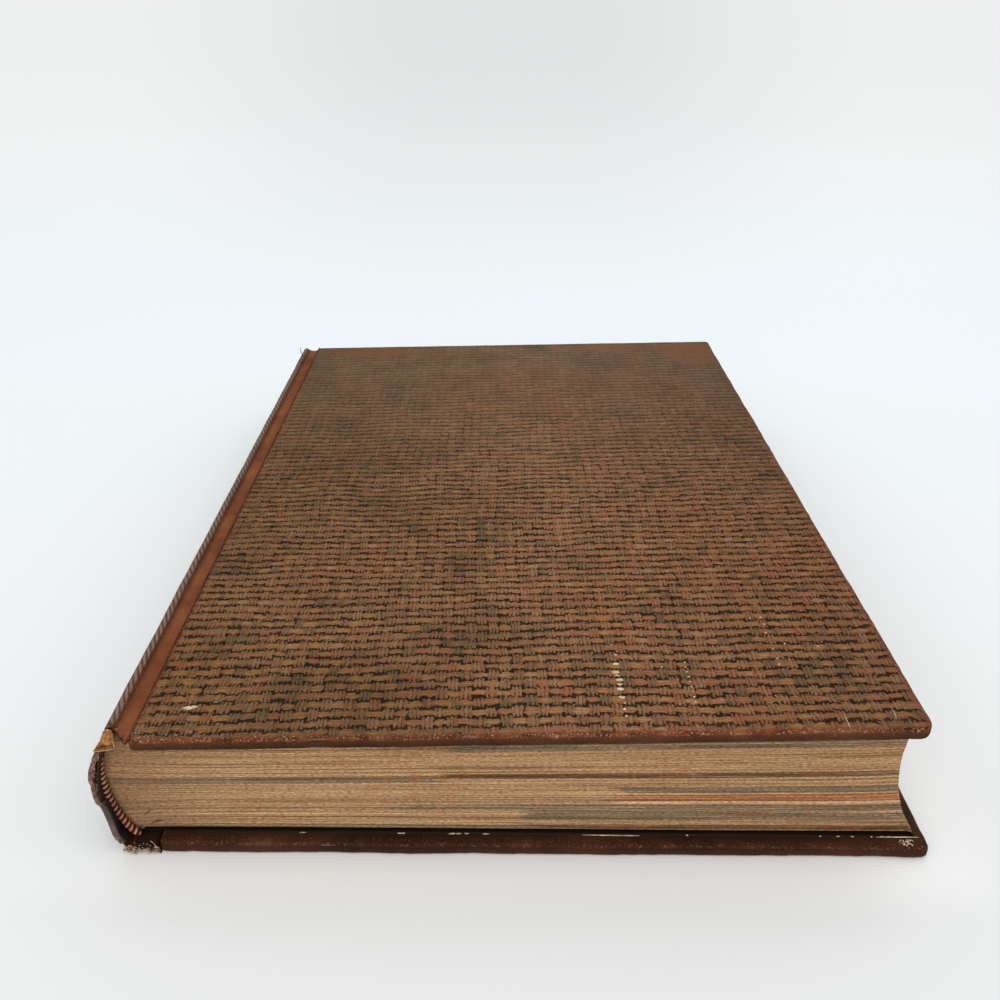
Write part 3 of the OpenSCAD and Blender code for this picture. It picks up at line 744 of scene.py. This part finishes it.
def spine_skin():
    """The cloth round the spine: an arc about SPINE_C from ridge to ridge, carried from tail to head.
    Across the wall it is a long thin loop: outer face, round tail end, inner face, round head end.
    Above the tear the tail end is set back and swollen; below it the end leans in like a cap."""
    na = 90
    beside = (RIDGE_R + 0.08) / CASE_R
    top_angle = math.atan2(FRONT_Z - SPINE_C[1], FRONT_X - SPINE_C[0]) + beside
    low_angle = math.atan2(BACK_Z - SPINE_C[1], BACK_X - SPINE_C[0]) + 2 * math.pi - beside
    angle = np.linspace(top_angle, low_angle, na)[:, None]
    outer_y = np.linspace(1, 0, 150)
    cap = np.radians(np.linspace(90, -90, 9))[1:-1]
    inner_y = np.linspace(0, 1, 40)
    where = np.concatenate([outer_y, 0 * cap, inner_y, 1 + 0 * cap])[None, :]
    face = np.concatenate([1 + 0 * outer_y, np.sin(cap), -1 + 0 * inner_y, -np.sin(cap)])[None, :]
    bulge = np.concatenate([0 * outer_y, np.cos(cap), 0 * inner_y, -np.cos(cap)])[None, :]
    z = SPINE_C[1] + CASE_R * np.sin(angle)
    torn = ease((z - TEAR_Z) / 0.5)
    jag = soft_noise(z, 0 * z, 1.1, 61) * 0.35 + soft_noise(z, 0 * z, 3.2, 62) * 0.5
    start = -HALF_H + torn * (1.2 + jag + 4.5 * ease((z - 30) / 2.5)) + 0.35
    stop = HALF_H - 0.35
    y = mix(start, stop, where)
    near = np.exp(-(y + HALF_H) / 3.0)
    half_t = 0.24 + torn * 0.32 * np.exp(-(y - start) / 1.6) + (1 - torn) * 0.75 * near
    near_tail = np.exp(-(y + HALF_H) / 25)
    notch = (ease((z - TEAR_Z) / 0.4) - 1) * 0.7 * np.exp(-((z - 13) / 5) ** 2) * np.exp(-(y + HALF_H) / 1.2)
    # swollen at two heights near the tail, and drawn in over the last millimetres below the tear
    swell = (1.35 * np.exp(-((z - 23) / 7) ** 2) + 0.5 * np.exp(-((z - 5) / 2.5) ** 2)) * near_tail
    middle = notch + CASE_R - 0.30 + swell - (1 - torn) * 0.9 * np.exp(-(y + HALF_H) / 2.6)
    radius = middle + face * half_t
    emboss = 0.06 * np.maximum(0, np.sin((y * 0.9 + angle * 30) * 2.4)) ** 6
    radius = radius - np.where(face > 0.9, emboss, 0)
    y = y - 0.3 * bulge
    x, zz = SPINE_C[0] + radius * np.cos(angle), SPINE_C[1] + radius * np.sin(angle)
    zz = np.maximum(zz, 0.12)
    n = where.shape[1]
    points = np.stack([x, y + 0 * x, zz], -1).reshape(-1, 3)
    faces = tube_faces(na, n)
    raw = torn * np.exp(-np.maximum(y - start, 0) / 0.7)
    raw = np.maximum(raw, torn * (face < 0) * np.exp(-np.maximum(y - start, 0) / 2.0))
    # painted shadow: the inner face, and below the tear the inner half of the tail cap, are marked to turn near-black
    inside = np.maximum((face < -0.5) * ease((y - start - 0.6) / 0.5), (1 - torn) * ease((-0.55 - face) / 0.4))
    uv = np.stack([angle * CASE_R + 0 * y, y], -1).reshape(-1, 2)
    obj = piece("spine_cloth_skin", points, faces, spine_cloth, uv,
                {"raw": (raw + 0 * x).ravel(), "inside": (inside + 0 * x).ravel()})
    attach(obj, "leaves")
    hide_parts("spine_cloth")
    return obj


spine_cloth = spine_cloth_material()
spine_skin()


# ---------------------------------------------------------------- bands
def band_material():
    """Machine-woven end band: red-brown and cream threads wound round a cord.
    The eye reads slanting light and dark stripes, each a small shiny swelling."""
    m, add = new_material("woven_silk_end_band")
    split = add("SeparateXYZ", add("UVMap", uv_map="UVMap"))
    along, around = split, split.node.outputs[1]
    phase = add("MULTIPLY_ADD", along, 1 / 1.38, add("MULTIPLY", around, 1.0))
    wave = add("PINGPONG", phase, 0.5)
    wave = add("MULTIPLY", wave, 2.0)
    place = add("TexCoord", out=3)
    rough = add("MULTIPLY", add("SUBTRACT", add("noise", place, 1500.0, 2), 0.5), 0.5)
    colour = add("ramp", add("ADD", wave, rough), stops=[(0.15, "2c0f06"), (0.42, "66260f"), (0.60, "8c4022"),
                                                         (0.76, "b98062"), (0.92, "c99c7c")])
    return finish_surface(m, add, colour, 0.6, wave, distance=0.0005, specular=0.3)


def end_band(name, sign, node):
    """One band: a round cord along the back's arc, x = centre - sqrt(radius^2 - height^2), leaning
    with the leaves at the tail and slimmer towards its top."""
    radius = BAND_R
    lean = 0.11 if sign > 0 else 0
    z = np.linspace(29.4, COVER_T + (0.4 if sign < 0 else -0.2), 90)
    path = np.stack([SPINE_C[0] - np.sqrt(radius ** 2 - (z - SPINE_C[1]) ** 2) - lean * (z - 10), z], -1)
    hook = ease((6 - z) / 4)[:, None] * np.array([1.0, 0])
    path = path + hook
    steps = np.gradient(path, axis=0)
    steps /= np.hypot(*steps.T)[:, None]
    run = np.concatenate([[0], np.cumsum(np.hypot(*np.diff(path, axis=0).T))])
    turn = np.linspace(0, 2 * math.pi, 17)[:-1]
    thick = (0.66 + 0.2 * run / run[-1]) * np.sqrt(np.clip(np.minimum(run, run[-1] - run) / 0.8 + 0.25, 0, 1))
    swell = 1 + 0.07 * np.cos(2 * math.pi * (run[:, None] / 1.3 + turn[None, :] / (2 * math.pi)))
    r = thick[:, None] * swell
    x = path[:, :1] + r * np.cos(turn) * steps[:, 1:]
    z = path[:, 1:] - r * np.cos(turn) * steps[:, :1]
    y = sign * (-(HALF_H - SQUARE + 0.93) - r * np.sin(turn)) + 0 * x
    points = np.stack([x, y, z], -1).reshape(-1, 3)
    n = len(turn)
    faces = tube_faces(len(path), n)
    uv = np.stack([run[:, None] + 0 * x, np.broadcast_to(turn / (2 * math.pi), x.shape)], -1)
    obj = piece(name, points, faces, end_band_thread, uv.reshape(-1, 2))
    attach(obj, "leaves")
    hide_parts(node)
    return obj


end_band_thread = band_material()
end_band("tail_band_cord", 1, "tail_band")
end_band("head_band_cord", -1, "head_band")


# ---------------------------------------------------------------- torn tail end and small marks
def matt(name, *stops, scale=900.0, roughness=0.95):
    """A dull material with a small cloudy grain of a few colours."""
    m, add = new_material(name)
    grain = add("noise", add("TexCoord", out=3), scale, 3)
    return finish_surface(m, add, add("ramp", grain, stops=stops), roughness, grain, distance=0.0001, specular=0.1)


def tail_flap():
    """The tanned back of the spine cloth, folded over at the torn corner: a net of 14 x 12 points on
    the surface through three rows of three points, each row and then each column a bent curve."""
    rows = [[(-92.9, -125.2, 33.5), (-91.9, -125.2, 34.6), (-91.2, -125.0, 33.7)],
            [(-92.5, -127.3, 33.2), (-91.4, -127.6, 33.0), (-90.2, -126.6, 32.0)],
            [(-94.3, -128.6, 31.0), (-92.2, -129.2, 31.9), (-89.9, -128.2, 31.5)]]
    top, middle, low = (bend(*row, 12)[0] for row in rows)
    net = bend(top, middle, low, 14)
    wave = 0.12 * soft_noise(np.arange(12)[:, None] * 1.7, np.arange(14)[None, :] * 1.3, 3, 71)
    net = net + wave[..., None] * np.array([0.3, -0.5, 0.8])
    points, faces = slab(net, 0.45 + wave)
    obj = piece("torn_spine_flap", points, faces, matt("tanned_leather_back", (0.3, "5c3218"), (0.45, "8c5a34"),
                                                       (0.58, "a67a50"), (0.72, "c4a27a"), scale=700.0), smooth=40)
    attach(obj, "leaves")
    strands("flap_pale_rims", bend([(-94.3, -128.9, 31.1), (-92.9, -125.5, 33.7), (-90.4, -127.3, 32.9)],
                                   [(-92.1, -129.7, 32.1), (-91.9, -125.5, 35.1), (-89.6, -128.1, 32.4)],
                                   [(-89.8, -128.5, 31.6), (-91.1, -125.3, 33.9),
                                    (-89.8, -128.5, 31.6)], 12), 0.08, pale_rim, "leaves")
    # painted shadow: a dark strand lies along the flap's fold
    strands("flap_fold_shadow", bend([(-93.7, -128.8, 31.8)], [(-91.9, -129.1, 32.9)], [(-90.3, -128.1, 32.3)], 12),
            0.12, dark_thread_and_shade, "leaves")


cream = matt("raw_cream_paper_fibre", (0.3, "a08468"), (0.5, "c8b292"), (0.7, "e6d8c2"))
dusty = matt("pinkish_grey_felted_fibre", (0.3, "6b4b3b"), (0.5, "9a7c6b"), (0.7, "c0a898"))
pale_rim = matt("pale_leather_rim", (0.3, "987448"), (0.6, "c2a074"))
# dark thread, also used for strands that paint shade in a fold and a crack
dark_thread_and_shade = matt("dark_sewing_thread", (0.3, "1d1512"), (0.6, "3b2c24"))
tail_flap()


def scatter(count, *spans):
    """Random points in a box given by the span of each coordinate."""
    return np.stack([rng.uniform(low, high, count) for low, high in spans], -1)


def torn_fibres():
    """Threads of the torn edge: each starts on the spine's arc and bends down and outwards."""
    z = np.concatenate([rng.uniform(15.5, 31, 46), rng.uniform(3.4, 5.5, 18)])
    high = z > 10
    radius = np.where(high, CASE_R + 0.9 * np.exp(-((z - 23) / 7) ** 2) - 0.2, CASE_R - 0.1)
    x = SPINE_C[0] - np.sqrt(radius ** 2 - (z - SPINE_C[1]) ** 2) + rng.uniform(0, 0.7, len(z))
    y = np.where(high, -127.0, -128.4)
    a = np.stack([x, y, z], -1)
    b = a + scatter(len(z), (-0.3, 0.3), (-0.7, -0.2), (-0.5, 0.5))
    c = b + scatter(len(z), (-0.4, 0.5), (-0.4, 0.1), (-0.7, 0.5))
    c[:, 2] = np.maximum(c[:, 2], 0.15)
    strands("torn_edge_fibres", bend(a, b, c, 5), 0.12, dusty, "leaves")
    count = 150
    x = rng.uniform(-92.6, -84.6, count)
    a = np.stack([x, rng.uniform(-128.8, -127.6, count), 0.4 + 1.5 * rng.uniform(0, 1, count) ** 1.5], -1)
    b = a + scatter(count, (-0.3, 0.6), (-0.8, -0.2), (0.1, 0.6))
    c = b + scatter(count, (-0.8, 1.0), (-0.5, 0.2), (-0.8, 0.3))
    c[:, 2] = np.maximum(c[:, 2], 0.2)
    inner, thick = x < -90.6, np.arange(count) % 3 > 0
    for body, own in (("leaves", inner), ("back_cover", ~inner)):
        strands("frayed_tail_fibres_" + body, bend(a, b, c, 5)[own & thick], 0.15, dusty, body)
        strands("pale_tail_fibres_" + body, bend(a, b, c, 5)[own & ~thick], 0.09, cream, body)
    strands("white_fibre", bend([(-86.2, -128.6, 3.7)], [(-84.9, -129.2, 3.5)], [(-84.7, -129.0, 1.0)], 10), 0.06,
            cream, "back_cover")


torn_fibres()


def loose_marks():
    """Crumbs and chips of paper where the photograph shows them, as small lumps and short threads."""
    at_foot = [(-51.3, 1.0), (-28.4, .8), (-27.6, .5), (-16.1, 1.1), (-14.6, .9), (-12.6, .7), (-8.1, 1.2),
               (39.5, .5), (71.1, .4),
               (75.4, .6), (78.8, .6), (83.3, .4), (85.7, .5), (87.4, .4)]
    places = [(x, -125.55, COVER_T + 0.16) for x, _ in at_foot]
    crumbs("paper_crumbs_at_foot", places, [(0.75 * length, .2, .1) for _, length in at_foot], cream, "back_cover")
    a, c = np.array([(14.6, -125.7, 3.45), (84.3, -125.65, 3.42)]), np.array([(28.3, -125.8, 3.45),
                                                                              (94.6, -125.6, 3.42)])
    strands("paper_sliver_at_foot", bend(a, (a + c) / 2, c, 12), 0.14, cream, "back_cover")
    a = scatter(26, (89.4, 92.2), (-128.2, -126.2), (3.3, 3.4))
    strands("frayed_corner_patch", bend(a, a + [.3, 0, .25], a + scatter(26, (-.7, .9), (-.5, .5), (-.1, .1)), 4),
            0.11, cream, "back_cover")
    crumbs("chip_on_cover", on_front([16.3, 17.5], [10.7, 11.2], 1.75), [(1.3, .5, .18), (.8, .4, .16)], cream,
           "front_cover")
    v = np.array([32.1, 28.1, 24.6, 21.5, 20.2, 18.6, 17.0, 15.3, 12.5, 10.4, 8.3, 6.0])
    size = np.array([.3, .4, .8, 1.1, .6, 1.0, .7, .9, .8, .3, .5, .4])
    trail = on_front(114.9 + 0.5 * soft_noise(v, 0, 2, 81), v, 1.66)
    crumbs("scuff_trail", trail, np.stack([0.95 * size, 0.55 * size, 0.14 + 0 * size], -1), cream, "front_cover")
    u = np.concatenate([131.3 + 0 * np.arange(9), [125.6, 151, 153.9, 154, 153.5, 157.1, 153.6, 164.8, 153.7,
                                                   153.6]])
    v = np.concatenate([np.linspace(24.9, 10.4, 9), [23.2, 42.6, 42.9, 39.9, 36.1, 31.8, 29.5, 30.4, 25.9, 23.6]])
    near_rim = scatter(90, (6.5, 172), (0.1, 1.2))
    in_holes = scatter(150, (40, 120), (10, 62))
    flat = np.concatenate([np.stack([u, v], -1), near_rim, scatter(26, (6, 21), (0.4, 3.6)), in_holes])
    size = np.concatenate([0 * u + 0.3, rng.uniform(.03, .09, 90), rng.uniform(.05, .13, 26),
                           rng.uniform(.07, .12, 150)])
    long = np.where(np.arange(len(flat)) < len(u), 1.0, 2.2)
    lift = np.where(np.arange(len(flat)) < len(u) + 116, 1.6, 1.5)
    crumbs("flecks_on_cover", on_front(flat[:, 0], flat[:, 1], lift),
           np.stack([long * size, .8 * size / long, .07 + 0 * size], -1), cream, "front_cover")
    a, c = on_front([163.2, 174.4], [5.9, 8.4], 1.66), on_front([163.1, 174.3], [.4, 3.7], 1.64)
    strands("scratches_on_cover", bend(a, (a + c) / 2 + [.2, 0, 0], c, 8), 0.07, cream, "front_cover")
    strands("loose_thread_at_head", bend([(-91.6, 117, 33.9)], [(-93.2, 119, 35.2)], [(-93.8, 123, 36.4)], 10),
            0.18, dark_thread_and_shade, "leaves")
    # painted shade: dark strands draw the crack behind the band
    strands("crack_behind_band", bend([(-88.0, -125.12, 8.4), (-86.9, -125.1, 5.0)],
                                      [(-87.0, -125.14, 9.2), (-86.4, -125.2, 6.6)],
                                      [(-85.9, -125.12, 10.2),
                                       (-83.6, -125.1, 6.6)], 8), 0.09, dark_thread_and_shade, "leaves")


loose_marks()

# ---------------------------------------------------------------- camera
# Fitted to the photograph's edges: focal length and picture in pixels, sensor in mm, angles in radians
FOCAL, PICTURE, SENSOR = 961, 1000, 36
pitch, yaw, roll = 0.49163, -0.0099, -0.01519
right = Vector((math.cos(yaw), math.sin(yaw), 0))
ahead = Vector((-math.sin(yaw) * math.cos(pitch), math.cos(yaw) * math.cos(pitch), -math.sin(pitch)))
down = ahead.cross(right)
across = math.cos(roll) * right + math.sin(roll) * down
downwards = -math.sin(roll) * right + math.cos(roll) * down
turned = Matrix((across, -downwards, -ahead)).transposed().to_4x4()
turned.translation = Vector((-0.0076, -0.288505, 0.180210))
lens = bpy.data.cameras.new("camera")
lens.sensor_width = SENSOR
lens.lens = SENSOR * FOCAL / PICTURE
lens.clip_start = 0.01
camera = bpy.data.objects.new("camera", lens)
camera.matrix_world = turned
scene.collection.objects.link(camera)
scene.camera = camera

# ---------------------------------------------------------------- light
scene.view_settings.view_transform = "Standard"
world = bpy.data.worlds.new("studio")
scene.world = world
world.use_nodes = True
sky = world.node_tree.nodes["Background"]
sky.inputs["Color"].default_value = (1, 1, 1, 1)
sky.inputs["Strength"].default_value = 0.88
rays = add_node(world, "LightPath").node.outputs
seen = rays["Is Camera Ray"]
for ray in ("Is Glossy Ray", "Is Transmission Ray"):
    seen = add_node(world, "MAXIMUM", seen, rays[ray])
shown = add_node(world, "MixShader", seen, sky.outputs[0], add_node(world, "Background", "e8ebeb"))
world.node_tree.links.new(shown, world.node_tree.nodes["World Output"].inputs["Surface"])


def lamp(name, place, target, size, power, colour="ffffff"):
    """A soft square lamp that looks at a point."""
    light = bpy.data.lights.new(name, "AREA")
    light.size = size
    light.energy = power
    light.color = linear(colour)[:3]
    obj = bpy.data.objects.new(name, light)
    place, target = Vector(place), Vector(target)
    obj.location = place
    obj.rotation_euler = (target - place).to_track_quat("-Z", "Y").to_euler()
    scene.collection.objects.link(obj)
    return obj


lamp("key_lamp", (0.16, 0.05, 0.95), (0, 0, 0.02), 0.8, 1.9)
lamp("front_lamp", (-0.2, -0.9, 0.55), (0, 0, 0.02), 0.7, 2.4)


def floor():
    """White card, lit a little less in front of the book and above it, as in the photograph."""
    m, add = new_material("matt_white_card")
    spot = add("SeparateXYZ", add("TexCoord", out=3))
    x, y = spot, spot.node.outputs[1]
    # painted shade: the card is darker towards the camera and, further off, in the middle above the book
    depth = add("ramp", add("range", y, -0.3, 1.7), stops=[(0.0, "d8dada"), (0.1, "e5e8e8"), (0.3, "e9f0f4"),
                                                           (0.6, "f7f9fa"), (1.0, "fbfcfd")])
    aside = add("DIVIDE", add("ABSOLUTE", x), add("ADD", y, 0.5))
    middle = add("soft_range", aside, 0.35, 0.05, 0, 0.5)
    middle = add("MULTIPLY", middle, add("range", y, 0.15, 0.6))
    colour = add("blend", middle, depth, "e0e5e4")
    # painted light: the card is lighter just in front of the book's tail, which weakens the book's shadow there
    before = add("MULTIPLY", add("soft_range", add("ABSOLUTE", x), 0.125, 0.08),
                 add("soft_range", y, -0.148, -0.131, 0, 0.58))
    before = add("MULTIPLY", before, add("range", y, 0.0, -0.08))
    colour = add("blend", before, colour, "ffffff")
    finish_surface(m, add, colour, 0.95, specular=0.0)
    x, y = np.meshgrid([-60000.0, 60000.0], [-3000.0, 0.0, 2000.0, 100000.0])
    obj = piece("floor", np.stack([x, y, 0 * x], -1), grid_faces(4, 2), m, smooth=0, closed=False)


floor()


# ---------------------------------------------------------------- materials of the CAD parts that stay
def paper_material(name, pale, brown, edge_y=0.0, edge_code="35241a"):
    """Rag endpaper browned by age: cloudy, with small rust spots, and painted dark beyond edge_y from the middle as
    painted shadow.
    The eye reads warm dull cream that darkens towards the spine, with painted shade at the rims."""
    m, add = new_material(name)
    place = add("TexCoord", out=3)
    spot = add("SeparateXYZ", place)
    colour = add("ramp", add("noise", place, 22.0, 5), stops=[(0.35, brown), (0.6, pale)])
    rust = add("range", add("noise", place, 420.0, 3), 0.62, 0.72, 0, 0.5)
    colour = add("blend", rust, colour, "99683c")
    hinge = add("soft_range", spot, -0.06, -0.09, 0, 0.45)
    colour = add("blend", hinge, colour, brown)
    # painted shadow: beyond edge_y from the middle, at the tail and head rims, the paper turns edge_code
    if edge_y:
        outer = add("ABSOLUTE", spot.node.outputs[1])
        outer = add("MULTIPLY_ADD", add("noise", place, 600.0, 3), 0.0006, outer)
        colour = add("blend", add("range", outer, edge_y - 0.001, edge_y), colour, edge_code)
    fibres = add("noise", place, 1800.0, 3)
    return finish_surface(m, add, colour, 0.95, fibres, distance=0.00005, specular=0.1)


def board_material(name, code, darker, grain):
    """Pressed pulp board: flecked, matt, a little fibrous. The eye hardly sees it but at torn places."""
    m, add = new_material(name)
    place = add("TexCoord", out=3)
    flecks = add("noise", place, grain, 5)
    return finish_surface(m, add, add("ramp", flecks, stops=[(0.35, darker), (0.62, code)]), 0.95, flecks,
                          distance=0.0001, specular=0.1)


def gauze_material(name):
    """Open mull glued over the back of the leaves: brown glue with pale threads crossing every 0.8 mm."""
    m, add = new_material(name)
    place = add("TexCoord", out=3)
    spot = add("SeparateXYZ", place)
    lines = [add("PINGPONG", add("MULTIPLY", axis, 1250.0), 0.5) for axis in (spot.node.outputs[1],
                                                                              spot.node.outputs[2])]
    thread = add("MAXIMUM", *lines)
    mask = add("range", thread, 0.36, 0.44)
    glue = add("ramp", add("noise", place, 90.0, 4), stops=[(0.35, "1f120b"), (0.65, "352114")])
    return finish_surface(m, add, add("blend", mask, glue, "4f3a28"), 0.7, thread, distance=0.0001, specular=0.3)


endpaper = paper_material("browned_rag_endpaper", "bfa37d", "a68865")
flyleaf_with_shaded_edge = paper_material("browned_flyleaf_with_dirty_edge", "bfa37d", "a68865", edge_y=0.1238,
                            edge_code="1c120c")
pasted = paper_material("pasted_rag_endpaper", "bb9f7a", "a08260", edge_y=0.1246)
CAD_MATERIALS = {
    "front_flyleaf": endpaper, "back_flyleaf": flyleaf_with_shaded_edge, "front_pastedown": pasted, "back_pastedown": pasted,
    "spine_lining": gauze_material("glued_mull_on_spine"),
    # the spine card is dark brown, darkened as painted shade beside the band where it shows
    "spine_inlay": board_material("dense_brown_spine_card", "3a2820", "20140f", 300.0),
    "front_board": board_material("pressed_grey_pulp_board", "8a8072", "6b6155", 500.0),
    "front_cover_cloth": front_cloth, "back_cover_cloth": front_cloth, "spine_cloth": spine_cloth,
    "text_block": paper_block, "tail_band": end_band_thread, "head_band": end_band_thread}
CAD_MATERIALS["back_board"] = CAD_MATERIALS["front_board"]
for node, obj in frame["nodes"].items():
    obj.data.materials.clear()
    obj.data.materials.append(CAD_MATERIALS[node])


def joint_paper(name, place, start):
    """The endpaper across a hinge: a thin sheet from beside the ridge to the paper glued in the cover, level with it."""
    u, v = np.meshgrid(np.linspace(0.95, start + 3.6, 26), np.linspace(SQUARE + 0.5, BOARD_H - SQUARE - 0.5, 60),
                       indexing="ij")
    w = -COVER_T / 2 + PAPER_T / 2 + 0.02 * soft_noise(u, v, 6, 91)
    points, faces = slab(place(u, v, w), 0.1)
    obj = piece(name, points, faces, endpaper)
    ends = [Vector(place(at, HALF_H, 0) / 1000) for at in (1.0, 4.2)]
    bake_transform(obj)


joint_paper("front_joint_paper", on_front, JOINT_W)
joint_paper("back_joint_paper", on_back, BACK_JOINT_W)
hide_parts("front_cover_cloth")
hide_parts("back_cover_cloth")
